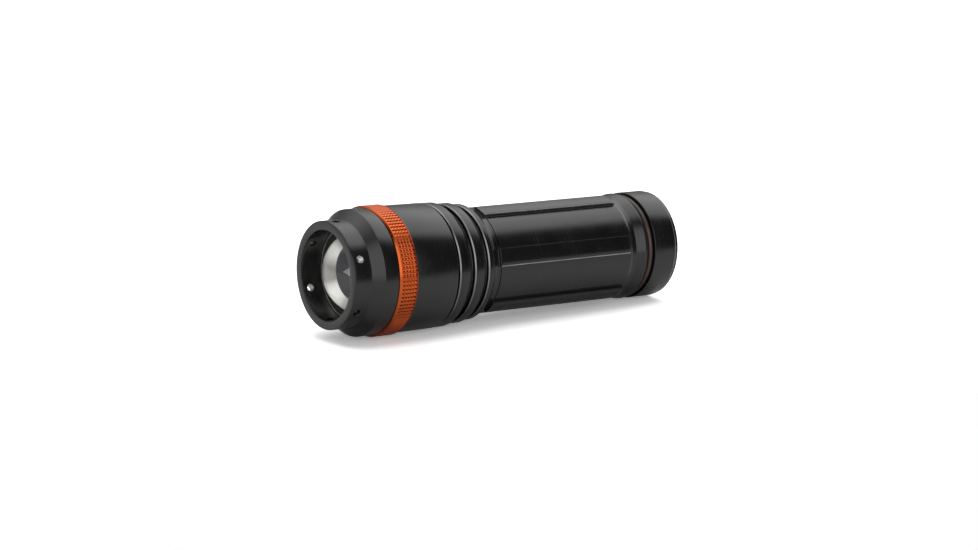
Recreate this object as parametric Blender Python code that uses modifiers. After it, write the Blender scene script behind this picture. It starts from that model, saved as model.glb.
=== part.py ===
"""Compact zoom flashlight: a knurled sliding head with a domed lens over an LED,
a finned and ribbed battery tube, a three-cell carrier and a screwed tail cap
with a press button.

Every turned piece is described by its profile (s, r): s is the distance in
millimetres behind the front face of the bezel, and r is the radius. The light
lies on its side: the lens faces -Y, the tail faces +Y and +Z is up.
"""

import math

import bmesh
import bpy
from mathutils import Vector

# ---------------------------------------------------------------- dimensions
MM = 0.001
SEG = 32                   # facets on a full-size turned piece
SEG_M = 24                 # facets on a turned piece inside the head
SEG_S = 20                 # facets on a small turned piece
LENGTH = 104.3             # front face of the bezel to rear face of the tail cap

R_BEZEL = 14.0             # bezel ring
R_BORE = 11.7              # mouth of the bezel
S_BEZEL = 5.15             # where the bezel ring meets its 45 degree shoulder
S_SHOULDER = 7.55          # where the shoulder meets the head
R_HEAD = 16.45             # head in front of the grip ring
S_RING_0, S_RING_1 = 11.8, 17.4
R_RING = 16.95             # knurled grip ring, the widest piece
R_SLEEVE_0, R_SLEEVE_1 = 16.55, 16.4
S_SLEEVE_1 = 30.25         # rear end of the sliding head
HOLE_COUNT, HOLE_R, HOLE_S, HOLE_PHASE = 6, 1.0, 2.35, 25.5

ZOOM_TRAVEL = 7.0          # the head slides this far forward
S_FIN = (30.6, 33.4, 35.9, 38.5, 40.6, 43.8)   # front and rear of the three fins
R_FIN = (16.3, 15.8, 15.3)
R_GROOVE = (14.9, 14.6)
R_TUBE = 14.15             # neck of the battery tube
R_RIB = 14.95              # its raised ribs
R_PANEL = 14.08            # panels between the ribs
S_PANEL_0, S_PANEL_1 = 44.3, 87.8
RIB_COUNT, RIB_PHASE, RIB_ANGLE = 6, 12.75, 16.5
S_TUBE_1 = 94.5            # rear end of the tube
R_COLLAR = 14.4
R_BATTERY_BORE = 11.55

S_CAP_0 = 96.3             # visible front edge of the tail cap
R_CAP = 14.45
CAP_FILLET = 1.0
TAIL_TRAVEL = 4.0          # four turns of a 1 mm thread
BUTTON_TRAVEL = 1.6
R_BUTTON = 5.8

CELL_R, CELL_L = 5.1, 44.5           # AAA cell
CELL_PITCH_R = 6.08                  # centre of each cell from the axis
S_CELL_0 = 39.5                      # front end of the cells

LENS_SPHERE = 11.3                   # radius of the lens's dome
S_LENS_TOP, R_LENS_DOME = 1.07, 10.3
S_RIM_0, S_RIM_1, R_RIM = 8.9, 10.9, 12.4

HALF_STEP = math.pi / SEG            # turns a flat facet to the bottom
AXIS_Z = R_RING * math.cos(HALF_STEP)

# ------------------------------------------------------------ scene and groups
for old in list(bpy.data.objects):
    bpy.data.objects.remove(old, do_unlink=True)

parts = bpy.data.collections.new("tactical_flashlight")
cutters = bpy.data.collections.new("cutters")
bpy.context.scene.collection.children.link(parts)
bpy.context.scene.collection.children.link(cutters)

axis = bpy.data.objects.new("optical_axis", None)      # +Z of this empty points out of the lens
axis.location = (0, 0, AXIS_Z * MM)
axis.rotation_euler = (math.pi / 2, 0, 0)
axis.empty_display_size = 0.02
parts.objects.link(axis)


def height(s):
    """Local height, in metres, of a point s millimetres behind the front face."""
    return (LENGTH / 2 - s) * MM


def material(name, colour, rough, metal=0.0, alpha=1.0, transmission=0.0):
    found = bpy.data.materials.get(name)
    if found:
        return found
    made = bpy.data.materials.new(name)
    made.use_nodes = True
    shader = made.node_tree.nodes["Principled BSDF"]
    shader.inputs["Base Color"].default_value = (*colour, 1)
    shader.inputs["Roughness"].default_value = rough
    shader.inputs["Metallic"].default_value = metal
    shader.inputs["Alpha"].default_value = alpha
    shader.inputs["Transmission Weight"].default_value = transmission
    made.diffuse_color = (*colour, alpha)
    return made


BLACK_ANODISE = ("black_anodised_aluminium", (0.018, 0.018, 0.019), 0.32, 0.85)
ORANGE_ANODISE = ("orange_anodised_aluminium", (0.86, 0.20, 0.03), 0.34, 0.85)
BARE_ALUMINIUM = ("machined_aluminium", (0.74, 0.75, 0.76), 0.3, 1.0)
RUBBER = ("black_rubber", (0.02, 0.02, 0.02), 0.7)
BROWN_RUBBER = ("brown_o_ring_rubber", (0.07, 0.03, 0.025), 0.55)
GLASS = ("lens_glass", (0.95, 0.97, 0.97), 0.03, 0.0, 0.35, 1.0)
WHITE_BOARD = ("white_solder_mask", (0.86, 0.86, 0.83), 0.4)
GREEN_BOARD = ("green_circuit_board", (0.03, 0.22, 0.09), 0.45)
PHOSPHOR = ("led_phosphor", (0.93, 0.80, 0.22), 0.3)
WHITE_PLASTIC = ("white_plastic", (0.85, 0.85, 0.82), 0.5)
BLACK_PLASTIC = ("black_moulded_plastic", (0.03, 0.03, 0.03), 0.5)
BRASS = ("brass", (0.78, 0.60, 0.28), 0.3, 1.0)
SPRING_STEEL = ("nickel_plated_spring", (0.72, 0.71, 0.68), 0.25, 1.0)
SCREW_STEEL = ("steel", (0.62, 0.62, 0.62), 0.3, 1.0)
CELL_WRAP = ("cell_wrap", (0.12, 0.14, 0.17), 0.35)
RED_WIRE = ("red_wire", (0.6, 0.03, 0.02), 0.45)
BLACK_WIRE = ("black_wire", (0.02, 0.02, 0.02), 0.45)


def finish(obj, look, smooth=35):
    obj.data.materials.clear()
    obj.data.materials.append(material(*look))
    if smooth and obj.type == "MESH":
        obj.data.shade_smooth()
        obj.data.set_sharp_from_angle(angle=math.radians(smooth))
    return obj


def add(name, mesh, look, group=parts, smooth=35, turn=0.0, at=(0, 0, 0)):
    """An object under the optical axis, at a point of the axis frame in millimetres."""
    obj = bpy.data.objects.new(name, mesh)
    group.objects.link(obj)
    obj.parent = axis
    obj.location = Vector(at) * MM
    obj.rotation_euler = (0, 0, turn)
    if group is cutters:
        obj.hide_render = True
        obj.display_type = "WIRE"
        return obj
    return finish(obj, look, smooth)


def profile_mesh(name, profile, closed):
    mesh = bpy.data.meshes.new(name)
    points = [(r * MM, 0.0, height(s)) for s, r in profile]
    ends = [(i, i + 1) for i in range(len(points) - 1)]
    if closed:
        ends.append((len(points) - 1, 0))
    mesh.from_pydata(points, ends, [])
    mesh.update()
    return mesh


def turned(name, profile, look, steps=SEG, group=parts, turn=HALF_STEP, at=(0, 0, 0)):
    """A turned piece. The profile runs front to rear down its outer side, then back
    inside it. A profile that starts and ends on the axis is a solid, any other a ring."""
    closed = profile[0][1] > 0 or profile[-1][1] > 0
    obj = add(name, profile_mesh(name, profile, closed), look, group, None, turn, at)
    screw = obj.modifiers.new("turn", "SCREW")
    screw.axis = "Z"
    screw.angle = 2 * math.pi
    screw.steps = steps
    screw.render_steps = steps
    screw.use_merge_vertices = True
    screw.merge_threshold = 0.00001
    screw.use_smooth_shade = False
    return obj


def arc(s_mid, r_mid, radius_s, radius_r, start, end, count):
    """Points of an ellipse arc in the profile plane; 0 degrees points outwards and
    90 degrees points to the rear."""
    found = []
    for i in range(count + 1):
        t = math.radians(start + (end - start) * i / count)
        found.append((s_mid + radius_s * math.sin(t), r_mid + radius_r * math.cos(t)))
    return found


def ring_section(s_mid, r_mid, half_s, half_r, count=6):
    """A closed round section for an O-ring."""
    return arc(s_mid, r_mid, half_s, half_r, 0, 360 - 360 / count, count - 1)


def cut(obj, cutter, operation="DIFFERENCE"):
    boolean = obj.modifiers.new(cutter.name, "BOOLEAN")
    boolean.operation = operation
    boolean.solver = "EXACT"
    boolean.object = cutter
    return boolean


def cylinder_mesh(name, places, radius, length, segments=12):
    """One mesh of closed cylinders; each place is (matrix-free) centre and direction."""
    bm = bmesh.new()
    for centre, direction in places:
        made = bmesh.ops.create_cone(
            bm,
            cap_ends=True,
            segments=segments,
            radius1=radius * MM,
            radius2=radius * MM,
            depth=length * MM,
        )
        turn = Vector((0, 0, 1)).rotation_difference(Vector(direction)).to_matrix()
        bmesh.ops.rotate(bm, verts=made["verts"], cent=(0, 0, 0), matrix=turn)
        bmesh.ops.translate(bm, verts=made["verts"], vec=Vector(centre) * MM)
    mesh = bpy.data.meshes.new(name)
    bm.to_mesh(mesh)
    bm.free()
    return mesh


def box_mesh(name, size, centre=(0, 0, 0), bevel=0.0):
    bm = bmesh.new()
    bmesh.ops.create_cube(bm, size=1.0)
    bmesh.ops.scale(bm, vec=Vector(size) * MM, verts=bm.verts)
    if bevel:
        bmesh.ops.bevel(
            bm, geom=list(bm.edges), offset=bevel * MM, segments=1, affect="EDGES"
        )
    bmesh.ops.translate(bm, vec=Vector(centre) * MM, verts=bm.verts)
    mesh = bpy.data.meshes.new(name)
    bm.to_mesh(mesh)
    bm.free()
    return mesh


def slab_mesh(name, outlines, s_front, s_rear):
    """Flat outlines, lists of (x, y) in millimetres, each made a prism between two
    distances from the front face."""
    bm = bmesh.new()
    for outline in outlines:
        verts = [bm.verts.new((x * MM, y * MM, height(s_rear))) for x, y in outline]
        face = bm.faces.new(verts)
        moved = bmesh.ops.extrude_face_region(bm, geom=[face])
        bmesh.ops.translate(
            bm,
            vec=(0, 0, (s_rear - s_front) * MM),
            verts=[v for v in moved["geom"] if isinstance(v, bmesh.types.BMVert)],
        )
    bmesh.ops.recalc_face_normals(bm, faces=bm.faces)
    mesh = bpy.data.meshes.new(name)
    bm.to_mesh(mesh)
    bm.free()
    return mesh


def polar(radius, degrees):
    t = math.radians(degrees)
    return radius * math.cos(t), radius * math.sin(t)


def spring(name, s_front, s_rear, r_front, r_rear, turns, wire, centre=(0, 0)):
    """A coil spring with one flat turn at each end, as a bevelled POLY curve."""
    curve = bpy.data.curves.new(name, "CURVE")
    curve.dimensions = "3D"
    curve.bevel_depth = wire * MM
    curve.bevel_resolution = 1
    curve.use_fill_caps = True
    per_turn = 8
    count = int((turns + 1.6) * per_turn) + 1
    spline = curve.splines.new("POLY")
    spline.points.add(count - 1)
    flat = 0.8 * per_turn
    for i in range(count):
        climb = min(max((i - flat) / (count - 1 - 2 * flat), 0.0), 1.0)
        # The flat turns spiral a little inwards, so that the wire never meets itself.
        inward = 2.3 * wire * max(1 - i / flat, 0.0) + 2.3 * wire * max(
            (i - (count - 1 - flat)) / flat, 0.0
        )
        radius = r_rear + (r_front - r_rear) * climb - inward
        x, y = polar(radius, 360 * i / per_turn)
        s = s_rear - wire + (s_front - s_rear + 2 * wire) * climb
        spline.points[i].co = ((x + centre[0]) * MM, (y + centre[1]) * MM, height(s), 1)
    obj = bpy.data.objects.new(name, curve)
    parts.objects.link(obj)
    obj.parent = axis
    curve.materials.append(material(*SPRING_STEEL))
    return obj


def wire(name, route, radius, look):
    curve = bpy.data.curves.new(name, "CURVE")
    curve.dimensions = "3D"
    curve.bevel_depth = radius * MM
    curve.bevel_resolution = 2
    curve.use_fill_caps = True
    spline = curve.splines.new("POLY")
    spline.points.add(len(route) - 1)
    for point, (s, x, y) in zip(spline.points, route):
        point.co = (x * MM, y * MM, height(s), 1)
    obj = bpy.data.objects.new(name, curve)
    parts.objects.link(obj)
    obj.parent = axis
    curve.materials.append(material(*look))
    return obj


# ------------------------------------------------------------- sliding head
bezel = turned(
    "bezel_ring",
    [
        (0.0, R_BORE + 0.2), (0.0, R_BEZEL - 0.25), (0.25, R_BEZEL),
        (S_BEZEL, R_BEZEL), (S_SHOULDER - 0.2, R_HEAD - 0.2), (S_SHOULDER, R_HEAD),
        (S_RING_0, R_HEAD), (S_RING_0, 14.8), (16.0, 14.8), (16.0, 13.2),
        (6.05, 13.2), (6.05, R_BORE), (0.2, R_BORE),
    ],
    BLACK_ANODISE,
)
holes = []
for i in range(HOLE_COUNT):
    x, y = polar(1.0, HOLE_PHASE + 360 / HOLE_COUNT * i)
    holes.append(((x * 13, y * 13, LENGTH / 2 - HOLE_S), (x, y, 0)))
cut(bezel, add("bezel_hole_cutter", cylinder_mesh("bezel_holes", holes, HOLE_R, 6.0, 12), None, cutters))

turned(
    "grip_ring",
    [
        (S_RING_0 + 0.25, R_HEAD), (S_RING_0 + 0.75, R_RING), (S_RING_1 - 0.7, R_RING),
        (S_RING_1 - 0.25, R_RING - 0.45), (S_RING_1 - 0.25, 16.1), (S_RING_0 + 0.25, 16.1),
    ],
    ORANGE_ANODISE,
)

turned(
    "head_sleeve",
    [
        (12.1, 15.8), (S_RING_1, 15.8), (S_RING_1, R_SLEEVE_0 - 0.2),
        (S_RING_1 + 0.2, R_SLEEVE_0), (S_SLEEVE_1 - 0.3, R_SLEEVE_1),
        (S_SLEEVE_1, R_SLEEVE_1 - 0.3), (S_SLEEVE_1, 13.9), (28.2, 13.9),
        (28.2, 15.1), (12.1, 15.1),
    ],
    BLACK_ANODISE,
)

turned(
    "lens_seat_ring",
    [
        (6.35, 11.5), (6.35, 12.9), (8.6, 12.9), (8.6, 10.6), (7.6, 10.95),
        (6.65, 11.35),
    ],
    BLACK_PLASTIC, SEG_M,
)

dome = []
for i in range(8):
    t = i / 7 * math.asin(R_LENS_DOME / LENS_SPHERE)
    dome.append((S_LENS_TOP + LENS_SPHERE * (1 - math.cos(t)), LENS_SPHERE * math.sin(t)))
turned(
    "lens",
    dome + [(S_RIM_0, R_LENS_DOME), (S_RIM_0, R_RIM), (S_RIM_1, R_RIM), (S_RIM_1, 0.0)],
    GLASS, SEG_M,
)

turned("lens_o_ring", ring_section(11.8, 11.9, 0.6, 0.6), RUBBER, SEG_M)

clamp = turned(
    "lens_clamp_ring",
    [(12.7, 10.6), (12.7, 12.9), (15.4, 12.9), (15.4, 10.4), (12.9, 10.4)],
    BLACK_ANODISE, SEG_M,
)
slots = [
    slab
    for a in (0, 180)
    for slab in [[polar(9, a - 6), polar(12.2, a - 5), polar(12.2, a + 5), polar(9, a + 6)]]
]
cut(clamp, add("clamp_slot_cutter", slab_mesh("clamp_slots", slots, 14.2, 16.0), None, cutters))

# ---------------------------------------------------------------- tube and fins
f = S_FIN
tube = turned(
    "body_tube",
    [
        (21.3, 13.2), (21.7, 13.6), (f[0], 13.6),
        (f[0], R_FIN[0] - 0.3), (f[0] + 0.3, R_FIN[0]), (f[1] - 0.3, R_FIN[0]),
        (f[1], R_FIN[0] - 0.3), (f[1] + 0.3, R_GROOVE[0]), (f[2] - 0.3, R_GROOVE[0]),
        (f[2], R_FIN[1] - 0.3), (f[2] + 0.3, R_FIN[1]), (f[3] - 0.3, R_FIN[1]),
        (f[3], R_FIN[1] - 0.3), (f[3] + 0.3, R_GROOVE[1]), (f[4] - 0.3, R_GROOVE[1]),
        (f[4], R_FIN[2] - 0.3), (f[4] + 0.3, R_FIN[2]), (f[4] + 1.3, R_FIN[2]),
        (f[5] - 0.7, R_TUBE + 0.3), (f[5], R_TUBE),
        (S_PANEL_0 + 0.05, R_TUBE), (S_PANEL_0 + 0.3, R_RIB),
        (S_PANEL_1 - 0.35, R_RIB), (S_PANEL_1 - 0.05, R_TUBE), (88.6, R_TUBE - 0.05),
        (89.3, R_TUBE - 0.25), (90.3, R_TUBE - 0.25), (91.4, R_COLLAR),
        (S_TUBE_1 - 0.3, R_COLLAR), (S_TUBE_1, R_COLLAR - 0.3),
        (S_TUBE_1, 12.95), (89.4, 12.95), (89.4, R_BATTERY_BORE), (21.3, R_BATTERY_BORE),
    ],
    BLACK_ANODISE,
)
outlines = []
for i in range(RIB_COUNT):
    middle = RIB_PHASE + 360 / RIB_COUNT * (i + 0.5)
    half = (360 / RIB_COUNT - RIB_ANGLE) / 2
    outer = [polar(15.8, middle + a) for a in (half + 3, 0, -half - 3)]
    inner = [polar(R_PANEL, middle - half + 2 * half * k / 6) for k in range(7)]
    outlines.append(inner + outer)
cut(tube, add("panel_cutter", slab_mesh("panel_recesses", outlines, S_PANEL_0, S_PANEL_1), None, cutters))

# ------------------------------------------------------------------ LED module
pill = turned(
    "led_pill",
    [
        (15.9, 0.0), (15.9, 9.3), (16.1, 9.5), (17.0, 9.5), (17.0, 14.6), (17.2, 14.8),
        (17.7, 14.8), (17.7, 13.9), (18.7, 13.9), (18.7, 14.8), (19.3, 14.8),
        (19.3, 13.9), (20.3, 13.9), (20.3, 14.8), (20.9, 14.8), (20.9, 11.2),
        (28.6, 11.2), (28.6, 9.9), (23.2, 9.9), (23.2, 0.0),
    ],
    BARE_ALUMINIUM, SEG_M,
)
SCREW_X, LEAD_Y = 7.3, 6.3
pill_holes = cylinder_mesh(
    "pill_holes",
    [((0, LEAD_Y, LENGTH / 2 - 19.5), (0, 0, 1)), ((0, -LEAD_Y, LENGTH / 2 - 19.5), (0, 0, 1))],
    1.0, 9.0, 10,
)
cut(pill, add("pill_lead_cutter", pill_holes, None, cutters))
screw_holes = cylinder_mesh(
    "screw_holes",
    [((x, 0, LENGTH / 2 - 17.0), (0, 0, 1)) for x in (SCREW_X, -SCREW_X)],
    1.15, 5.0, 10,
)
cut(pill, add("pill_screw_cutter", screw_holes, None, cutters))

turned("zoom_o_ring_front", ring_section(18.2, 14.45, 0.42, 0.5), RUBBER, SEG_M)
turned("zoom_o_ring_rear", ring_section(19.8, 14.45, 0.42, 0.5), RUBBER, SEG_M)

# The star board: a round board with six half-round notches.
notch_r = 1.55
star_outline = []
for i in range(6):
    mid = 60 * i
    cx, cy = polar(9.3, mid)
    for k in range(7):
        t = math.radians(mid - 90 - 180 * k / 6)
        star_outline.append((cx + notch_r * math.cos(t), cy + notch_r * math.sin(t)))
    for k in range(1, 5):
        star_outline.append(polar(9.3, mid + 11 + 38 * k / 5))
star = add("led_star_board", slab_mesh("star_board", [star_outline], 14.3, 15.6), WHITE_BOARD, smooth=25)
star_holes = cylinder_mesh(
    "star_holes",
    [((x, 0, LENGTH / 2 - 15), (0, 0, 1)) for x in (SCREW_X, -SCREW_X)]
    + [((0, y, LENGTH / 2 - 15), (0, 0, 1)) for y in (LEAD_Y, -LEAD_Y)],
    1.15, 4.0, 10,
)
cut(star, add("star_hole_cutter", star_holes, None, cutters))

emitter = add(
    "led_emitter",
    box_mesh("emitter_base", (3.45, 3.45, 0.9), (0, 0, LENGTH / 2 - 13.55), 0.12),
    PHOSPHOR, smooth=30,
)
dome_mesh = bpy.data.meshes.new("emitter_dome")
bm = bmesh.new()
bmesh.ops.create_uvsphere(bm, u_segments=12, v_segments=8, radius=1.35 * MM)
bmesh.ops.translate(bm, vec=(0, 0, height(12.6)), verts=bm.verts)
bm.to_mesh(dome_mesh)
bm.free()
cut(emitter, add("emitter_dome_add", dome_mesh, None, cutters), "UNION")

turned(
    "led_gasket",
    [(13.1, 3.0), (13.1, 4.3), (13.5, 5.0), (14.0, 5.0), (14.0, 2.8), (13.3, 2.8)],
    WHITE_PLASTIC, SEG_S,
)

for letter, x in (("a", SCREW_X), ("b", -SCREW_X)):
    screw_part = turned(
        "star_screw_" + letter,
        [
            (12.9, 0.0), (12.9, 1.2), (13.3, 1.75), (14.0, 1.75), (14.0, 0.8),
            (18.6, 0.8), (18.9, 0.5), (18.9, 0.0),
        ],
        SCREW_STEEL, 12, turn=0, at=(x, 0, 0),
    )
    cross = box_mesh("cross_" + letter, (1.9, 0.4, 0.8), (0, 0, LENGTH / 2 - 12.9))
    cut(screw_part, add("cross_cutter_" + letter, cross, None, cutters, at=(x, 0, 0)))

for name, y, look in (
    ("led_lead_positive", LEAD_Y, RED_WIRE),
    ("led_lead_negative", -LEAD_Y, BLACK_WIRE),
):
    inwards = -1 if y > 0 else 1
    wire(
        name,
        [
            (26.1, 0, y), (23.0, 0, y), (19.0, 0, y), (15.0, 0, y), (14.0, 0, y + 0.12 * inwards),
            (13.66, 0, y + 0.34 * inwards), (13.5, 0, y + 0.7 * inwards), (13.5, 0, y + 1.0 * inwards),
        ],
        0.42, look,
    )

board = turned(
    "driver_board",
    [(26.5, 0.0), (26.5, 9.6), (28.0, 9.6), (28.0, 0.0)],
    GREEN_BOARD, SEG_S,
)
chips = []
for x, y, w, h in ((3.6, 1.8, 4.4, 3.4), (-3.8, -2.2, 3.0, 5.0), (-3.4, 4.0, 2.4, 1.6)):
    chips.append([(x - w / 2, y - h / 2), (x + w / 2, y - h / 2), (x + w / 2, y + h / 2), (x - w / 2, y + h / 2)])
cut(board, add("driver_chips", slab_mesh("driver_chips", chips, 24.9, 26.9), None, cutters), "UNION")

spring("driver_spring", 28.3, 35.9, 4.2, 3.0, 4, 0.3)

# ------------------------------------------------------------- battery carrier
S_CAR_0, S_CAR_1 = 36.8, 88.3
frame = turned(
    "carrier_frame",
    [
        (S_CAR_0, 0.0), (S_CAR_0, 10.9), (S_CAR_0 + 0.2, 11.1), (S_CAR_1 - 0.2, 11.1),
        (S_CAR_1, 10.9), (S_CAR_1, 0.0),
    ],
    BLACK_PLASTIC, SEG_M,
)
pockets = []
for i in range(3):
    x, y = polar(CELL_PITCH_R, 90 + 120 * i)
    pockets.append((x, y))
for i, (x, y) in enumerate(pockets):
    single = cylinder_mesh("cell_pocket_%d" % i, [((x, y, LENGTH / 2 - 62.55), (0, 0, 1))], 5.42, 47.7, 18)
    cut(frame, add("cell_pocket_cutter_%d" % i, single, None, cutters))

for i, (x, y) in enumerate(pockets):
    letter = "abc"[i]
    turned(
        "cell_" + letter,
        [
            (S_CELL_0 - 0.4, 0.0), (S_CELL_0 - 0.4, 1.7), (S_CELL_0 - 0.2, 1.9),
            (S_CELL_0 + 0.8, 1.9), (S_CELL_0 + 0.8, CELL_R - 0.5), (S_CELL_0 + 1.3, CELL_R),
            (S_CELL_0 + CELL_L - 0.8, CELL_R), (S_CELL_0 + CELL_L - 0.4, CELL_R - 0.4),
            (S_CELL_0 + CELL_L - 0.4, 0.0),
        ],
        CELL_WRAP, 18, turn=0, at=(x, y, 0),
    )
    spring("cell_spring_" + letter, S_CELL_0 + CELL_L - 0.1, 86.1, 2.4, 3.6, 1.3, 0.25, (x, y))

turned(
    "carrier_front_contact",
    [(36.15, 0.0), (36.15, 2.2), (36.3, 3.4), (36.5, 3.6), (36.5, 0.0)],
    BRASS, SEG_S,
)
turned(
    "carrier_rear_contact",
    [(88.6, 0.0), (88.6, 8.6), (89.1, 8.6), (89.1, 0.0)],
    BRASS, SEG_S,
)

# ---------------------------------------------------------------------- tail
tail_fillet = arc(LENGTH - CAP_FILLET, R_CAP - CAP_FILLET, CAP_FILLET, CAP_FILLET, 0, 90, 3)
turned(
    "tail_cap_shell",
    [(89.8, 11.5), (89.8, 12.4), (90.0, 12.6), (S_CAP_0, 12.6), (S_CAP_0, R_CAP - 0.25), (S_CAP_0 + 0.25, R_CAP)]
    + tail_fillet
    + [
        (LENGTH, 6.4), (LENGTH - 0.2, 6.2), (101.9, 6.2), (101.9, 10.4), (95.9, 10.4), (95.9, 11.3),
        (90.0, 11.3),
    ],
    BLACK_ANODISE,
)
turned("tail_o_ring", ring_section(95.4, 13.26, 0.66, 0.6, 8), BROWN_RUBBER)

retainer = turned(
    "switch_retainer",
    [(92.0, 8.4), (92.0, 11.0), (94.0, 11.0), (94.0, 8.2), (92.2, 8.2)],
    BARE_ALUMINIUM, SEG_M,
)
slots = [
    [polar(7, a - 9), polar(10.2, a - 7), polar(10.2, a + 7), polar(7, a + 9)]
    for a in (90, 270)
]
cut(retainer, add("retainer_slot_cutter", slab_mesh("retainer_slots", slots, 91.0, 93.0), None, cutters))

turned("switch_board", [(94.3, 0.0), (94.3, 11.0), (95.6, 11.0), (95.6, 0.0)], GREEN_BOARD, SEG_M)
switch_body = add(
    "switch_body",
    box_mesh("switch_body", (8.8, 8.8, 2.7), (0, 0, LENGTH / 2 - 97.25), 0.3),
    BLACK_PLASTIC, smooth=30,
)
well = cylinder_mesh("switch_well", [((0, 0, LENGTH / 2 - 97.9), (0, 0, 1))], 2.6, 3.4, 20)
cut(switch_body, add("switch_well_cutter", well, None, cutters))
spring("tail_spring", 89.4, 94.0, 3.2, 5.4, 3, 0.3)
turned(
    "boot_washer",
    [(100.5, 6.4), (100.5, 10.1), (101.6, 10.1), (101.6, 6.2), (100.7, 6.2)],
    WHITE_PLASTIC, SEG_S,
)

button_top = arc(103.2, R_BUTTON - 0.8, 0.7, 0.8, 0, 90, 4)
turned(
    "tail_button",
    [(100.5, 0.0), (100.5, R_BUTTON)]
    + button_top
    + [(103.98, 2.5), (104.0, 0.0)],
    RUBBER, SEG_S, turn=0,
)
turned(
    "switch_plunger",
    [(98.05, 0.0), (98.05, 2.0), (98.25, 2.2), (100.0, 2.2), (100.2, 2.0), (100.2, 0.0)],
    WHITE_PLASTIC, 20, turn=0,
)
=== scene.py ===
"""Looks of a compact zoom flashlight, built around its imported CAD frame.

Lengths in this file are millimetres where they are called s (distance behind the
front face of the bezel) or r (radius), and metres in Blender.
"""
import bpy, bmesh, math
from mathutils import Matrix, Vector


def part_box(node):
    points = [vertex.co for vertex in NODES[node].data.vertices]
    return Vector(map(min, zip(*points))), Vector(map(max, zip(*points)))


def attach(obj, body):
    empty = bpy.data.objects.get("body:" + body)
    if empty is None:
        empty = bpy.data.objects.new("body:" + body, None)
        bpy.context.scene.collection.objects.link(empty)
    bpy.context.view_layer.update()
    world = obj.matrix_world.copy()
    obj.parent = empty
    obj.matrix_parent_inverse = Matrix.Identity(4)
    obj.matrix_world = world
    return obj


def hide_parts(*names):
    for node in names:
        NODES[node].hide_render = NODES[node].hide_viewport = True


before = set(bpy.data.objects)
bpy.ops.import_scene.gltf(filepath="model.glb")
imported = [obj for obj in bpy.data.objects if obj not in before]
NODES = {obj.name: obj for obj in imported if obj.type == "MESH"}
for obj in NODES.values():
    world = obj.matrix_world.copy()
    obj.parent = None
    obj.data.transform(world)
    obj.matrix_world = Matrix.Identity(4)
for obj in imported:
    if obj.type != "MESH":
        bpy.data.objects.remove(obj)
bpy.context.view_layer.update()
MM = 0.001
scene = bpy.context.scene

lo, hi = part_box("bezel_ring")
Y0 = lo.y                                   # front face of the bezel
AX = (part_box("grip_ring")[0].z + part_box("grip_ring")[1].z) / 2      # height of the optical axis
U = 14.0                                    # bezel radius, the unit of the camera's numbers

# ------------------------------------------------------------------- camera
FOCAL = 2800.0
AZ, EL = 0.95412, -0.08707                  # optical axis against the view, radians
DIST = 50.855                               # bezel radii from the camera to the front face
FRONT = (325.15, 275.6)                     # where the centre of the front face lands
FLOOR_TILT = 1.63                           # degrees: the head ring is wider than the tail cap

axis_c = Vector((math.sin(AZ) * math.cos(EL), math.sin(EL), math.cos(AZ) * math.cos(EL)))
# World up seen from the camera (x right, y down, z ahead), with no roll.
target = -math.sin(math.radians(FLOOR_TILT))
span = math.hypot(axis_c.y, axis_c.z)
lean = math.atan2(-axis_c.y, axis_c.z)
elev = lean - math.asin(target / span)
up_c = Vector((0, -math.cos(elev), -math.sin(elev)))
y_c = axis_c.normalized()
z_c = (up_c - up_c.dot(y_c) * y_c).normalized()
x_c = y_c.cross(z_c)
to_cam = Matrix((x_c, y_c, z_c)).transposed()       # row frame to camera frame
front_c = Vector(((FRONT[0] - 489) / FOCAL, (FRONT[1] - 275) / FOCAL, 1)) * DIST * U * MM
cam_pos = Vector((0, Y0, AX)) - to_cam.transposed() @ front_c
back = to_cam.transposed()
rot = Matrix((back @ Vector((1, 0, 0)), back @ Vector((0, -1, 0)), back @ Vector((0, 0, -1)))).transposed()
camera_data = bpy.data.cameras.new("photo_camera")
camera_data.sensor_width = 36.0
camera_data.lens = FOCAL * 36.0 / 978.0
camera_data.clip_start, camera_data.clip_end = 0.01, 50.0
camera = bpy.data.objects.new("photo_camera", camera_data)
scene.collection.objects.link(camera)
camera.matrix_world = Matrix.Translation(cam_pos) @ rot.to_4x4()
scene.camera = camera
scene.view_settings.view_transform = "Standard"
scene.view_settings.look = "None"


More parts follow.
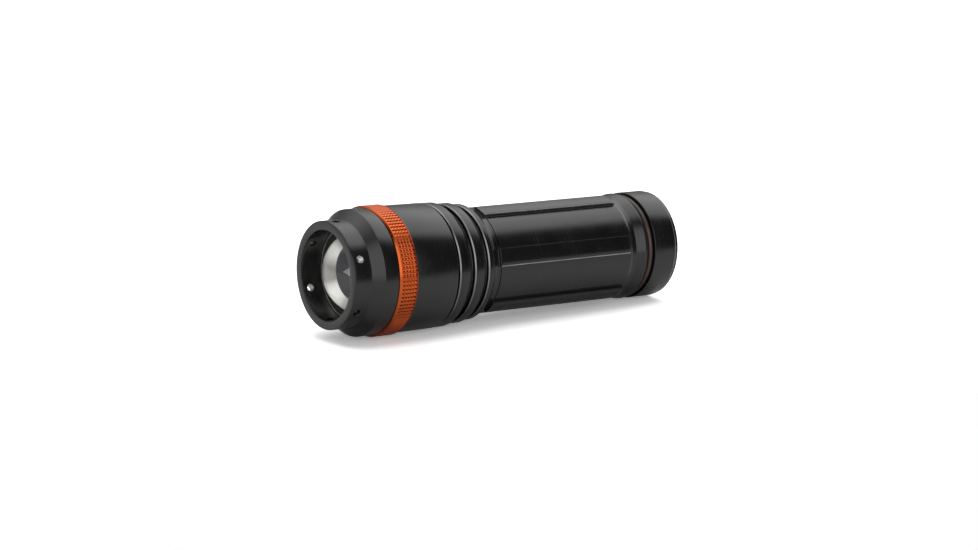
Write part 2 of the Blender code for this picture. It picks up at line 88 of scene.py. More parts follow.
# ---------------------------------------------------------------- materials
class Nodes:
    """A small helper that builds a node tree in a few words."""

    def __init__(self, name):
        self.mat = bpy.data.materials.new(name)
        self.mat.use_nodes = True
        self.tree = self.mat.node_tree
        self.bsdf = self.tree.nodes["Principled BSDF"]
        self.coords = self.tree.nodes.new("ShaderNodeTexCoord").outputs["Object"]

    def node(self, kind, **props):
        made = self.tree.nodes.new(kind)
        for key, value in props.items():
            setattr(made, key, value)
        return made

    def link(self, a, b):
        self.tree.links.new(a, b)

    def scaled(self, x, y, z, source=None):
        mapping = self.node("ShaderNodeMapping")
        mapping.inputs["Scale"].default_value = (x, y, z)
        self.link(source or self.coords, mapping.inputs["Vector"])
        return mapping.outputs["Vector"]

    def split(self, vector):
        made = self.node("ShaderNodeSeparateXYZ")
        self.link(vector, made.inputs[0])
        return made.outputs

    def noise(self, vector, scale=1.0, detail=3.0, rough=0.5, distortion=0.0):
        tex = self.node("ShaderNodeTexNoise")
        tex.inputs["Scale"].default_value = scale
        tex.inputs["Detail"].default_value = detail
        tex.inputs["Roughness"].default_value = rough
        tex.inputs["Distortion"].default_value = distortion
        self.link(vector, tex.inputs["Vector"])
        return tex.outputs["Fac"]

    def voronoi(self, vector, scale=1.0, feature="F1", out="Distance"):
        tex = self.node("ShaderNodeTexVoronoi", feature=feature)
        tex.inputs["Scale"].default_value = scale
        self.link(vector, tex.inputs["Vector"])
        return tex.outputs[out]

    def math(self, op, a, b=0.0, c=None, clamp=False):
        made = self.node("ShaderNodeMath", operation=op, use_clamp=clamp)
        for i, value in enumerate((a, b) if c is None else (a, b, c)):
            if isinstance(value, (int, float)):
                made.inputs[i].default_value = value
            else:
                self.link(value, made.inputs[i])
        return made.outputs[0]

    def remap(self, value, a, b, c, d, smooth=False):
        made = self.node("ShaderNodeMapRange", clamp=True)
        if smooth:
            made.interpolation_type = "SMOOTHSTEP"
        self.link(value, made.inputs["Value"])
        for key, number in (("From Min", a), ("From Max", b), ("To Min", c), ("To Max", d)):
            made.inputs[key].default_value = number
        return made.outputs["Result"]

    def ramp(self, value, stops, mode="LINEAR"):
        made = self.node("ShaderNodeValToRGB")
        made.color_ramp.interpolation = mode
        bar = made.color_ramp.elements
        while len(bar) < len(stops):
            bar.new(0.5)
        for element, (place, colour) in zip(bar, stops):
            element.position = place
            element.color = (*colour, 1)
        self.link(value, made.inputs["Fac"])
        return made.outputs["Color"]

    def mix(self, fac, a, b, blend="MIX"):
        made = self.node("ShaderNodeMix", data_type="RGBA", blend_type=blend)
        for key, value in ((0, fac), (6, a), (7, b)):
            if isinstance(value, (int, float)):
                made.inputs[key].default_value = value
            elif isinstance(value, tuple):
                made.inputs[key].default_value = (*value, 1)
            else:
                self.link(value, made.inputs[key])
        return made.outputs[2]

    def bump(self, height, strength, distance, normal=None):
        made = self.node("ShaderNodeBump")
        made.inputs["Strength"].default_value = strength
        made.inputs["Distance"].default_value = distance
        self.link(height, made.inputs["Height"])
        if normal is not None:
            self.link(normal, made.inputs["Normal"])
        return made.outputs["Normal"]

    def done(self, colour=None, rough=None, normal=None, **settings):
        for key, value in (("Base Color", colour), ("Roughness", rough), ("Normal", normal)):
            if value is None:
                continue
            if isinstance(value, (int, float)):
                self.bsdf.inputs[key].default_value = value
            elif isinstance(value, tuple):
                self.bsdf.inputs[key].default_value = (*value, 1)
            else:
                self.link(value, self.bsdf.inputs[key])
        for key, value in settings.items():
            self.bsdf.inputs[key.replace("_", " ")].default_value = value
        return self.mat


def anodised(name, dark, light, rough, metal, ior=1.5, marks=0.35, grain=1.0, polish=0.0, **more):
    """Turned and anodised aluminium: fine turning lines round the axis, a slightly
    uneven dye, and the soft frost that the etch leaves."""
    n = Nodes(name)
    lines = n.noise(n.scaled(60, 5200, 60), 1.0, 4.0, 0.62)
    broad = n.noise(n.scaled(90, 420, 90), 1.0, 2.0, 0.5)
    frost = n.noise(n.coords, 9000.0, 2.0, 0.6)
    cloud = n.noise(n.coords, 160.0, 3.0, 0.55)
    tone = n.math("ADD", n.math("MULTIPLY", cloud, 0.6), n.math("MULTIPLY", lines, 0.4))
    colour = n.ramp(tone, [(0.32, dark), (0.68, light)])
    uneven = n.math("ADD", n.math("MULTIPLY", lines, 0.5), n.math("MULTIPLY", cloud, 0.5))
    roughness = n.remap(uneven, 0.3, 0.7, rough - 0.045, rough + 0.055)
    normal = n.bump(lines, marks, 0.000006)
    normal = n.bump(broad, 0.12, 0.00002, normal)
    normal = n.bump(frost, 0.10 * grain, 0.000008, normal)
    if polish:
        # edges that handling has rubbed bright, a little unevenly
        flag = n.node("ShaderNodeAttribute", attribute_name="polished", attribute_type="GEOMETRY").outputs["Fac"]
        rub = n.remap(flag, 0.2, 0.5, 0.0, 1.0)
        n.link(rub, n.bsdf.inputs["Metallic"])
        shine = n.math("MULTIPLY", n.math("MULTIPLY", flag, n.remap(cloud, 0.3, 0.6, 0.7, 1.0)), polish)
        bare_tone = n.node("ShaderNodeCombineColor")
        for channel in ("Red", "Green", "Blue"):
            n.link(shine, bare_tone.inputs[channel])
        colour = n.mix(rub, colour, bare_tone.outputs["Color"])
    else:
        more = dict(more, Metallic=metal)
    return n.done(colour, roughness, normal, IOR=ior, **more)


black = anodised("black_anodise", (0.0016, 0.0016, 0.0017), (0.0030, 0.0030, 0.0031), 0.24, 0.0, 1.5, marks=0.12, polish=0.34)
black_knurl = black
black_inner = anodised("black_anodise_bore", (0.003, 0.003, 0.003), (0.006, 0.006, 0.006), 0.42, 0.0, 1.5)
orange = anodised("orange_anodise", (0.42, 0.066, 0.009), (0.56, 0.098, 0.014), 0.17, 1.0, 1.5, marks=0.15, Coat_Weight=0.3, Coat_Roughness=0.12)
bare = anodised("machined_aluminium", (0.55, 0.56, 0.57), (0.72, 0.73, 0.74), 0.28, 1.0, 1.5, marks=0.6)


def moulded(name, dark, light, rough, grain=1400.0, depth=0.00003, ior=1.5, **more):
    """Moulded plastic with a fine spark texture and slightly uneven pigment."""
    n = Nodes(name)
    fine = n.noise(n.coords, grain * 4, 3.0, 0.6)
    cells = n.voronoi(n.coords, grain)
    cloud = n.noise(n.coords, 220.0, 3.0, 0.5)
    colour = n.ramp(cloud, [(0.35, dark), (0.65, light)])
    height = n.math("ADD", n.math("MULTIPLY", fine, 0.6), n.math("MULTIPLY", cells, 0.4))
    return n.done(colour, n.remap(fine, 0.3, 0.7, rough - 0.06, rough + 0.06), n.bump(height, 0.3, depth), IOR=ior, **more)


black_plastic = moulded("black_plastic", (0.010, 0.010, 0.010), (0.018, 0.018, 0.018), 0.45)
white_plastic = moulded("white_plastic", (0.72, 0.71, 0.67), (0.80, 0.79, 0.75), 0.45)
rubber = moulded("button_rubber", (0.012, 0.012, 0.012), (0.022, 0.022, 0.022), 0.62, 900.0, 0.00004)
seal = moulded("seal_rubber", (0.010, 0.010, 0.010), (0.020, 0.019, 0.018), 0.42, 2000.0, 0.00001)
brown_seal = moulded("tail_seal_rubber", (0.020, 0.008, 0.006), (0.035, 0.013, 0.010), 0.36, 2000.0, 0.00001)


def wire_metal(name, dark, light, rough):
    n = Nodes(name)
    drawn = n.noise(n.scaled(2600, 700, 2600), 1.0, 4.0, 0.6)
    cloud = n.noise(n.coords, 300.0, 3.0, 0.5)
    colour = n.ramp(cloud, [(0.35, dark), (0.65, light)])
    return n.done(colour, n.remap(drawn, 0.3, 0.7, rough - 0.05, rough + 0.08), n.bump(drawn, 0.2, 0.00001), Metallic=1.0)


brass = wire_metal("brass_contact", (0.62, 0.43, 0.16), (0.76, 0.56, 0.24), 0.26)
spring_steel = wire_metal("spring_nickel", (0.56, 0.54, 0.50), (0.70, 0.69, 0.66), 0.22)
screw_steel = wire_metal("screw_steel", (0.50, 0.50, 0.50), (0.64, 0.64, 0.64), 0.28)


def circuit(name, mask, light, copper, tracks=900.0):
    """A circuit board: solder mask over raised tracks, with fine grain."""
    n = Nodes(name)
    cells = n.voronoi(n.scaled(1, 0.02, 1), tracks, "DISTANCE_TO_EDGE")
    track = n.remap(cells, 0.05, 0.09, 1.0, 0.0)
    grain = n.noise(n.coords, 3500.0, 3.0, 0.6)
    base = n.ramp(n.noise(n.coords, 500.0, 2.0, 0.5), [(0.35, mask), (0.65, light)])
    colour = n.mix(n.math("MULTIPLY", track, 0.55), base, copper)
    height = n.math("ADD", track, n.math("MULTIPLY", grain, 0.15))
    return n.done(colour, n.remap(grain, 0.3, 0.7, 0.24, 0.38), n.bump(height, 0.35, 0.00003))


green_board = circuit("green_board", (0.010, 0.085, 0.03), (0.016, 0.12, 0.045), (0.05, 0.2, 0.08))
white_board = circuit("white_board", (0.74, 0.74, 0.71), (0.82, 0.82, 0.79), (0.66, 0.67, 0.66), 420.0)


def wrap(name, dark, light, band):
    """The printed shrink sleeve of a cell, with one plain brass-coloured band near the top."""
    n = Nodes(name)
    split = n.node("ShaderNodeSeparateXYZ")
    n.link(n.coords, split.inputs[0])
    top = n.remap(split.outputs["Y"], -0.0035, -0.0034, 1.0, 0.0)
    fine = n.noise(n.coords, 900.0, 3.0, 0.5)
    base = n.ramp(n.noise(n.coords, 250.0, 3.0, 0.5), [(0.35, dark), (0.65, light)])
    return n.done(n.mix(top, base, band), n.remap(fine, 0.3, 0.7, 0.2, 0.34), n.bump(fine, 0.12, 0.00002), Coat_Weight=0.4)


cell_wrap = wrap("cell_wrap", (0.020, 0.024, 0.032), (0.035, 0.040, 0.050), (0.45, 0.27, 0.08))
red_lead = moulded("red_lead", (0.34, 0.012, 0.008), (0.45, 0.02, 0.012), 0.38)
black_lead = moulded("black_lead", (0.010, 0.010, 0.010), (0.020, 0.020, 0.020), 0.38)


def phosphor_material():
    n = Nodes("led_phosphor")
    grain = n.noise(n.coords, 5200.0, 4.0, 0.65)
    colour = n.ramp(grain, [(0.3, (0.72, 0.60, 0.10)), (0.7, (0.86, 0.76, 0.22))])
    return n.done(colour, n.remap(grain, 0.3, 0.7, 0.16, 0.30), n.bump(grain, 0.15, 0.00002), Coat_Weight=0.6)


phosphor = phosphor_material()


def glass_material():
    """Clear moulded lens, with the faint unevenness of its polish. Light for what is
    behind it passes straight through."""
    n = Nodes("lens_glass")
    wave = n.noise(n.coords, 140.0, 2.0, 0.5)
    tint = n.ramp(wave, [(0.3, (0.965, 0.975, 0.965)), (0.7, (0.985, 0.99, 0.98))])
    n.done(tint, n.remap(wave, 0.3, 0.7, 0.0, 0.02), n.bump(wave, 0.02, 0.00002), Transmission_Weight=1.0, IOR=1.49)
    path = n.node("ShaderNodeLightPath")
    clear = n.node("ShaderNodeBsdfTransparent")
    mixed = n.node("ShaderNodeMixShader")
    n.link(path.outputs["Is Shadow Ray"], mixed.inputs[0])
    n.link(n.bsdf.outputs[0], mixed.inputs[1])
    n.link(clear.outputs[0], mixed.inputs[2])
    n.link(mixed.outputs[0], n.tree.nodes["Material Output"].inputs["Surface"])
    return n.mat


glass = glass_material()

lip_metal = wire_metal("lip_metal", (0.24, 0.24, 0.24), (0.34, 0.34, 0.34), 0.30)


def backing():
    """White ring behind the lens, with painted light: sectors of lighter and darker tone that glow,
    a painted glow standing for the light that the lens gathers, and more glow below the axis."""
    n = Nodes("lens_backing")
    x, _, z = n.split(n.coords)
    turn = n.math("ARCTAN2", n.math("SUBTRACT", z, AX), x)
    fan = n.node("ShaderNodeCombineXYZ")
    n.link(n.math("SINE", turn), fan.inputs[0])
    n.link(n.math("COSINE", turn), fan.inputs[1])
    painted_glow_patch = n.noise(fan.outputs[0], 1.25, 1.0, 0.5)
    tone = n.ramp(painted_glow_patch, [(0.36, (0.50, 0.49, 0.46)), (0.5, (0.80, 0.79, 0.74)), (0.62, (0.96, 0.955, 0.94))])
    # painted glow: the ring shines in its own tone, more in the lighter sectors
    n.link(tone, n.bsdf.inputs["Emission Color"])
    # more painted glow below the axis
    painted_glow_below = n.remap(z, AX - 2 * MM, AX - 8 * MM, 0.0, 0.4)
    n.link(n.math("ADD", n.remap(painted_glow_patch, 0.38, 0.58, 0.1, 0.5), painted_glow_below), n.bsdf.inputs["Emission Strength"])
    return n.done(tone, 0.28)


backing_white = backing()
star_metal = moulded("led_star", (0.42, 0.42, 0.44), (0.56, 0.56, 0.58), 0.22, 1200.0, 0.00001)
star_floor = moulded("led_star_floor", (0.06, 0.06, 0.07), (0.12, 0.12, 0.13), 0.24, 1200.0, 0.00001)

# ------------------------------------------------------------------ geometry
def y_of(s):
    return Y0 + s * MM


POLISHED = set()                            # rows (s, r) that lie on a polished edge


def rounded(corners, steps=4):
    """A closed profile from (s, r, fillet) corners, each fillet made an arc."""
    out = []
    count = len(corners)
    for i, (s, r, f, *worn) in enumerate(corners):
        here = Vector((s, r))
        if f <= 0:
            out.append((s, r))
            continue
        before = (Vector(corners[i - 1][:2]) - here)
        after = (Vector(corners[(i + 1) % count][:2]) - here)
        a, b = before.normalized(), after.normalized()
        half = math.acos(max(-1, min(1, a.dot(b)))) / 2
        reach = min(f / math.tan(half), before.length * 0.49, after.length * 0.49)
        radius = reach * math.tan(half)
        centre = here + (a + b).normalized() * math.hypot(reach, radius)
        start, end = here + a * reach - centre, here + b * reach - centre
        angle = start.angle_signed(end)
        for k in range(steps + 1):
            t = -angle * k / steps
            out.append((centre.x + start.x * math.cos(t) - start.y * math.sin(t),
                        centre.y + start.x * math.sin(t) + start.y * math.cos(t)))
            # worn is (from, to) in shares of the arc: those rows are a polished edge
            if worn and worn[0][0] <= k / steps <= worn[0][1]:
                POLISHED.add((round(out[-1][0], 5), round(out[-1][1], 5)))
    return out


def mesh_from(name, points, faces, sharp=30):
    mesh = bpy.data.meshes.new(name)
    mesh.from_pydata(points, [], faces)
    bm = bmesh.new()
    bm.from_mesh(mesh)
    bmesh.ops.remove_doubles(bm, verts=bm.verts, dist=1e-7)
    bmesh.ops.recalc_face_normals(bm, faces=bm.faces)
    bm.to_mesh(mesh)
    bm.free()
    mesh.shade_smooth()
    mesh.set_sharp_from_angle(angle=math.radians(sharp))
    return mesh


def grid_mesh(name, rows, columns, radius, closed, sharp=30, x0=0.0, z0=0.0, polish=None):
    """A turned surface: rows of (s, r), columns of angles, and radius(s, r, t) for
    what stands proud or is cut away. Rows on the axis become one point."""
    points, faces, edge = [], [], []
    for s, r in rows:
        row_edge = 0.62 if (round(s, 5), round(r, 5)) in POLISHED else 0.0
        for t in columns:
            q = radius(s, r, t) if radius else r
            edge.append(max(row_edge, polish(s, r, t)) if polish else row_edge)
            points.append((x0 + q * math.cos(t) * MM, y_of(s), z0 + AX + q * math.sin(t) * MM))
    n, m = len(columns), len(rows)
    for i in range(m if closed else m - 1):
        for j in range(n):
            a, b = i * n + j, i * n + (j + 1) % n
            c, d = ((i + 1) % m) * n + (j + 1) % n, ((i + 1) % m) * n + j
            faces.append((a, b, c, d))
    mesh = bpy.data.meshes.new(name)
    mesh.from_pydata(points, [], faces)
    mesh.attributes.new("polished", "FLOAT", "POINT").data.foreach_set("value", edge)
    bm = bmesh.new()
    bm.from_mesh(mesh)
    bmesh.ops.remove_doubles(bm, verts=bm.verts, dist=1e-7)
    bmesh.ops.dissolve_degenerate(bm, edges=bm.edges, dist=1e-8)
    bmesh.ops.recalc_face_normals(bm, faces=bm.faces)
    bm.to_mesh(mesh)
    bm.free()
    mesh.shade_smooth()
    mesh.set_sharp_from_angle(angle=math.radians(sharp))
    return mesh


def around(count, phase=0.0):
    return [phase + 2 * math.pi * i / count for i in range(count)]


def piece(name, mesh, material, body, replaces=()):
    obj = bpy.data.objects.new(name, mesh)
    scene.collection.objects.link(obj)
    mesh.materials.clear()
    mesh.materials.append(material)
    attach(obj, body)
    if replaces:
        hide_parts(*replaces)
    return obj


def lathe(name, corners, material, body, replaces=(), n=192, closed=True, steps=4, sharp=30, radius=None, x0=0.0, z0=0.0):
    rows = rounded(corners, steps) if closed else corners
    return piece(name, grid_mesh(name, rows, around(n), radius, closed, sharp, x0, z0), material, body, replaces)


def apply_cut(obj, cutters):
    """Cuts each cutter from obj, applies it, and puts the smooth shading back."""
    for cutter in cutters:
        mod = obj.modifiers.new("cut", "BOOLEAN")
        mod.solver = "EXACT"
        mod.object = cutter
    bpy.context.view_layer.update()
    graph = bpy.context.evaluated_depsgraph_get()
    mesh = bpy.data.meshes.new_from_object(obj.evaluated_get(graph))
    obj.modifiers.clear()
    obj.data = mesh
    for cutter in cutters:
        bpy.data.objects.remove(cutter)
    mesh.shade_smooth()
    mesh.set_sharp_from_angle(angle=math.radians(30))


def rod(name, start, end, radii, n=32):
    """A loose cutter: cones between start and end, with (place 0..1, radius mm)."""
    start, end = Vector(start), Vector(end)
    turn = Vector((0, 0, 1)).rotation_difference((end - start).normalized()).to_matrix()
    length = (end - start).length
    points, faces = [], []
    for place, r in radii:
        for t in around(n):
            local = Vector((r * math.cos(t) * MM, r * math.sin(t) * MM, place * length))
            points.append(start + turn @ local)
    for i in range(len(radii) - 1):
        for j in range(n):
            faces.append((i * n + j, i * n + (j + 1) % n, (i + 1) * n + (j + 1) % n, (i + 1) * n + j))
    faces.append(tuple(range(n))[::-1])
    faces.append(tuple((len(radii) - 1) * n + j for j in range(n)))
    obj = bpy.data.objects.new(name, mesh_from(name, points, faces))
    scene.collection.objects.link(obj)
    return obj


BA, OA = "black_anodised_aluminium", "orange_anodised_aluminium"
R_BEZ, R_BORE, R_HEAD, R_RING = 14.0, 11.7, 16.45, 16.95
S_RING0, S_RING1 = 11.8, 17.4

# bezel ring, with six radial holes whose mouths are broken to a small chamfer
bezel = lathe(
    "bezel_ring_turned",
    [(0, R_BORE, 0.14), (0, R_BEZ, 0.16), (1.0, R_BEZ, 0), (3.7, R_BEZ, 0), (5.15, R_BEZ, 0.06),
     (7.6, R_HEAD, 0.22), (S_RING0, R_HEAD, 0.18), (S_RING0, 14.8, 0.1), (16.0, 14.8, 0.2), (16.0, 13.2, 0.1),
     (6.05, 13.2, 0), (6.05, R_BORE, 0.05), (3.7, R_BORE, 0), (1.0, R_BORE, 0)],
    black, "zoom_head", ["bezel_ring"], n=240,
)
cutters = []
for k in range(6):
    t = math.radians(25.5 + 60 * k)
    out = Vector((math.cos(t), 0, math.sin(t)))
    centre = Vector((0, y_of(2.35), AX))
    cutters.append(rod("hole_%d" % k, centre + out * 10 * MM, centre + out * 16 * MM,
                       [(0, 1.0), ((13.86 - 10) / 6, 1.0), ((14.1 - 10) / 6, 1.2), (1, 1.2)], 40))
apply_cut(bezel, cutters)

# hole walls, finished by how the light falls on each: two are bare metal, the side one a brighter copy as a painted
# glint, and the other four are black anodise as painted shade
# a brighter copy of the bare metal, as a painted glint
glint_metal_painted = wire_metal("hole_wall_bright", (0.68, 0.68, 0.68), (0.80, 0.80, 0.80), 0.32)
for name, holes, finish, slot in (("bezel_hole_wall_front", (3,), lip_metal, "machined_aluminium"),
                                  ("bezel_hole_wall_side", (0,), glint_metal_painted, "machined_aluminium"),
                                  ("bezel_hole_walls_painted_shade", (1, 2, 4, 5), black, BA)):
    points, faces = [], []
    for k in holes:
        t = math.radians(25.5 + 60 * k)
        out, up = Vector((math.cos(t), 0, math.sin(t))), Vector((0, 1, 0))
        side = out.cross(up)
        centre = Vector((0, y_of(2.35), AX))
        base, count = len(points), 40
        for depth, r in ((R_BORE + 0.12, 0.992), (13.84, 0.992), (13.84, 0.94), (R_BORE + 0.12, 0.94)):
            for a in around(count):
                points.append(centre + (out * depth + (up * math.cos(a) + side * math.sin(a)) * r) * MM)
        for i in range(4):
            for j in range(count):
                a, b = base + i * count + j, base + i * count + (j + 1) % count
                c, d = base + ((i + 1) % 4) * count + (j + 1) % count, base + ((i + 1) % 4) * count + j
                faces.append((a, b, c, d))
    piece(name, mesh_from(name, points, faces), finish, "zoom_head")

# grip ring: a bevelled front lip, then five rows of square cut teeth
TEETH, ROWS = 100, 5
K0, K1 = 12.42, 17.02
TOP, DEEP = 0.64, 0.20                      # share of a tooth that is flat, depth of the cuts


def knurl(s, r, t):
    if s < K0 - 1e-6 or s > K1 + 1e-6 or r < 16.6:
        return r
    u = (t / (2 * math.pi) * TEETH) % 1.0
    v = ((s - K0) / (K1 - K0) * ROWS) % 1.0
    if s > K1 - 1e-6:
        v = 1.0
    far = max(abs(u - 0.5), abs(v - 0.5)) * 2
    return r - DEEP * max(0.0, far - TOP) / (1 - TOP)


ring_rows = rounded([(S_RING0 + 0.08, 16.1, 0), (S_RING0 + 0.08, R_HEAD + 0.04, 0.04), (K0 - 0.14, R_RING, 0.1), (K0 - 0.02, R_RING, 0)])
ring_rows = ring_rows[:-1] + [(K0 - 0.01, R_RING)]
for i in range(ROWS):
    for v in (0.0, 0.10, 0.24, 0.37, 0.5, 0.63, 0.76, 0.90):
        ring_rows.append((K0 + (K1 - K0) * (i + v) / ROWS, R_RING))
ring_rows += [(K1, R_RING), (K1 + 0.01, R_RING)]
ring_rows += [(S_RING1 - 0.24, R_RING - 0.04), (S_RING1 - 0.14, R_RING - 0.2), (S_RING1 - 0.10, R_RING - 0.4), (S_RING1 - 0.10, 16.1)]
ring_columns = [2 * math.pi * (i + u) / TEETH for i in range(TEETH) for u in (0.0, 0.10, 0.24, 0.37, 0.5, 0.63, 0.76, 0.90)]
piece("grip_ring_knurled", grid_mesh("grip_ring_knurled", ring_rows, ring_columns, knurl, True, 22),
      orange, "zoom_head", ["grip_ring"])

# sliding sleeve
lathe(
    "head_sleeve_turned",
    [(12.1, 15.8, 0.1), (S_RING1 - 0.02, 15.8, 0), (S_RING1 - 0.02, 16.55, 0.15), (30.1, 16.4, 0.24), (30.1, 13.9, 0.15),
     (28.2, 13.9, 0.1), (28.2, 15.1, 0), (12.1, 15.1, 0.1)],
    black, "zoom_head", ["head_sleeve"], n=240,
)

# seat ring with its fine grooves, in front of the lens's rim
seat = [(6.25, 12.9), (8.6, 12.9), (8.6, 10.6)]
grooves = 7
for k in range(grooves):
    for part, dip in ((0.0, 0.0), (0.35, 0.0), (0.55, 0.16), (0.8, 0.16)):
        w = (k + part) / grooves
        seat.append((8.6 - 0.1 - w * 2.1, 10.62 + 0.83 * w + dip))
seat += [(6.25, 11.5), (6.25, 11.62)]
piece("lens_seat_grooved", grid_mesh("lens_seat_grooved", seat, around(192), None, True, 25),
      black_plastic, "zoom_head", ["lens_seat_ring"])

# machined lip that catches the light in front of the seat ring
lathe("seat_lip", [(6.02, 11.45, 0.06), (6.02, 11.68, 0.08), (6.3, 11.68, 0.05), (6.3, 11.45, 0.05)],
      lip_metal, "zoom_head", n=192, steps=2)

# domed lens
dome_r, s_top = 11.3, 1.07
rim_angle = math.asin(10.3 / dome_r)
lens_rows = [(s_top, 0.0)]
for k in range(1, 49):
    a = rim_angle * k / 48
    lens_rows.append((s_top + dome_r * (1 - math.cos(a)), dome_r * math.sin(a)))
lens_rows += rounded([(8.9, 10.45, 0.05), (8.9, 12.4, 0.12), (10.9, 12.4, 0.12), (10.9, 11.0, 0)])
lens_rows += [(10.9, 8.0), (10.9, 4.0), (10.9, 0.0)]
piece("lens_domed", grid_mesh("lens_domed", lens_rows, around(160), None, False, 35),
      glass, "zoom_head", ["lens"])

# what the dome magnifies: the white ring that backs its rim, and the star of the LED
# board with the emitter in the middle
lathe("lens_backing_ring", [(9.85, 9.3, 0), (10.5, 5.45, 0.08), (10.8, 5.3, 0.05), (10.84, 5.45, 0), (10.84, 9.3, 0)],
      backing_white, "zoom_head", n=160, steps=3)


def star_mesh():
    """Six faceted arms on a sunk disc."""
    points, faces = [], []

    def put(s, r, deg):
        t = math.radians(deg)
        points.append((r * math.cos(t) * MM, y_of(s), AX + r * math.sin(t) * MM))
        return len(points) - 1

    hub = put(10.42, 0.0, 0)
    ridge, valley, foot_tip, foot_valley = [], [], [], []
    for k in range(6):
        a = 188.0 + 60.0 * k
        ridge.append(put(10.60, 3.95, a))
        valley.append(put(10.66, 1.95, a + 30))
        foot_tip.append(put(10.80, 4.15, a))
        foot_valley.append(put(10.80, 2.05, a + 30))
    back = put(10.86, 0.0, 0)
    for k in range(6):
        prev = (k - 1) % 6
        faces += [(hub, ridge[k], valley[k]), (hub, valley[prev], ridge[k])]
        faces += [(ridge[k], foot_tip[k], foot_valley[k], valley[k]), (valley[prev], foot_valley[prev], foot_tip[k], ridge[k])]
        faces += [(foot_tip[k], back, foot_valley[k]), (foot_valley[prev], back, foot_tip[k])]
    return mesh_from("led_star_view", points, faces, 8)


piece("led_star_view", star_mesh(), star_metal, "zoom_head")
lathe("led_star_disc", [(10.74, 0.0), (10.74, 2.0), (10.72, 4.2), (10.66, 5.0), (10.60, 5.34), (10.86, 5.34), (10.86, 0.0)],
      star_floor, "zoom_head", n=96, closed=False)
lathe("led_view", [(10.12, 0.0), (10.14, 0.35), (10.22, 0.7), (10.34, 0.98), (10.5, 1.15), (10.7, 1.2), (10.7, 0.0)],
      phosphor, "zoom_head", n=48, closed=False)

# battery tube: fins, neck, six raised ribs, collar
RIB0, RIB_R = 12.75, 14.95
# share of the rib's height by degrees past its middle: crisp above, chamfered below
UPPER = ((8.5, 1.0), (8.62, 0.985), (8.74, 0.92), (8.84, 0.80), (8.94, 0.12), (9.06, 0.03), (9.7, 0.0))
LOWER = ((8.7, 1.0), (8.84, 0.985), (9.7, 0.84), (9.84, 0.80), (10.0, 0.12), (10.15, 0.03), (10.9, 0.0))
ENDS = ((44.44, 0.0), (44.50, 0.02), (44.55, 0.10), (44.62, 0.90), (44.68, 0.965), (44.80, 0.99), (45.36, 0.995), (45.6, 1.0),
        (87.0, 1.0), (87.25, 0.985), (87.42, 0.93), (87.56, 0.8), (87.70, 0.12), (87.82, 0.0))


def between(table, x):
    if x <= table[0][0]:
        return table[0][1]
    for (x0, y0), (x1, y1) in zip(table, table[1:]):
        if x <= x1:
            return y0 + (y1 - y0) * (x - x0) / (x1 - x0)
    return table[-1][1]


def from_rib(t):
    return (math.degrees(t) - RIB0 + 30.0) % 60.0 - 30.0


def tube_wall(s, r, t):
    if not (44.44 < s < 87.82) or r < 13.6:
        return r
    a = from_rib(t)
    share = between(UPPER if a > 0 else LOWER, abs(a))
    if 44.95 < s < 45.25:                        # a fine groove where each panel starts
        r -= 0.36 * min(1.0, max(0.0, (abs(a) - 11.5) / 2.0))
    return r + (RIB_R - r) * share * between(ENDS, s)


def tube_polish(s, r, t):
    a = from_rib(t)
    return 1.0 if 44.9 < s < 87.4 and r > 13.6 and -9.75 < a < -8.8 else 0.0


columns = []
for k in range(6):
    marks = [-(10.9 + 19.1 * i / 7) for i in range(7, 0, -1)] + [-e[0] for e in reversed(LOWER)] + [-4, 0, 4]
    marks += [e[0] for e in UPPER] + [9.7 + 20.3 * i / 7 for i in range(1, 7)]
    columns += [math.radians(RIB0 + 60 * k + m) for m in marks]
F = (30.75, 33.55, 35.8, 38.55, 40.45, 43.6)
LEAD, TRAIL = (0.5, 1.0), (0.0, 0.5)
tube_rows = rounded([
    (21.3, 13.6, 0.4), (F[0], 13.6, 0.1), (F[0], 16.04, 0.05, LEAD), (F[0] + 0.27, 16.3, 0.08, TRAIL), (F[1], 16.3, 0.16),
    (F[1] + 0.08, 14.55, 0.14), (F[2] - 0.04, 14.55, 0.14), (F[2], 15.54, 0.05, LEAD), (F[2] + 0.27, 15.8, 0.08, TRAIL),
    (F[3], 15.8, 0.16), (F[3] + 0.08, 14.2, 0.14), (F[4] - 0.04, 14.2, 0.14), (F[4], 15.04, 0.05, LEAD),
    (F[4] + 0.27, 15.3, 0.08, TRAIL), (F[4] + 1.5, 15.3, 0.5), (F[5] - 0.3, 14.24, 0.8), (44.1, 14.16, 0)])
tube_rows += [(e[0], 14.15) for e in ENDS[:5] if e[0] < 44.9]
tube_rows += [(44.93, 14.15), (44.955, 14.12), (45.02, 14.12), (45.18, 14.12), (45.245, 14.12), (45.27, 14.07)]
tube_rows += [(e[0], 14.06) for e in ENDS[6:8]]
tube_rows += [(45.9 + (86.7 - 45.9) * k / 20, 14.06) for k in range(21)]
tube_rows += [(e[0], 14.06) for e in ENDS[8:]]
tube_rows += rounded([
    (88.2, 14.06, 0), (88.9, 13.80, 0.8), (90.2, 13.80, 0.25), (93.05, 14.40, 0.12),
    (93.4, 14.4, 0.12), (94.5, 13.55, 0.12), (94.5, 12.95, 0.1), (89.4, 12.95, 0), (89.4, 11.55, 0), (21.3, 11.55, 0.1)])
piece("body_tube_milled", grid_mesh("body_tube_milled", tube_rows, columns, tube_wall, True, 24, polish=tube_polish),
      black, "body", ["body_tube"])

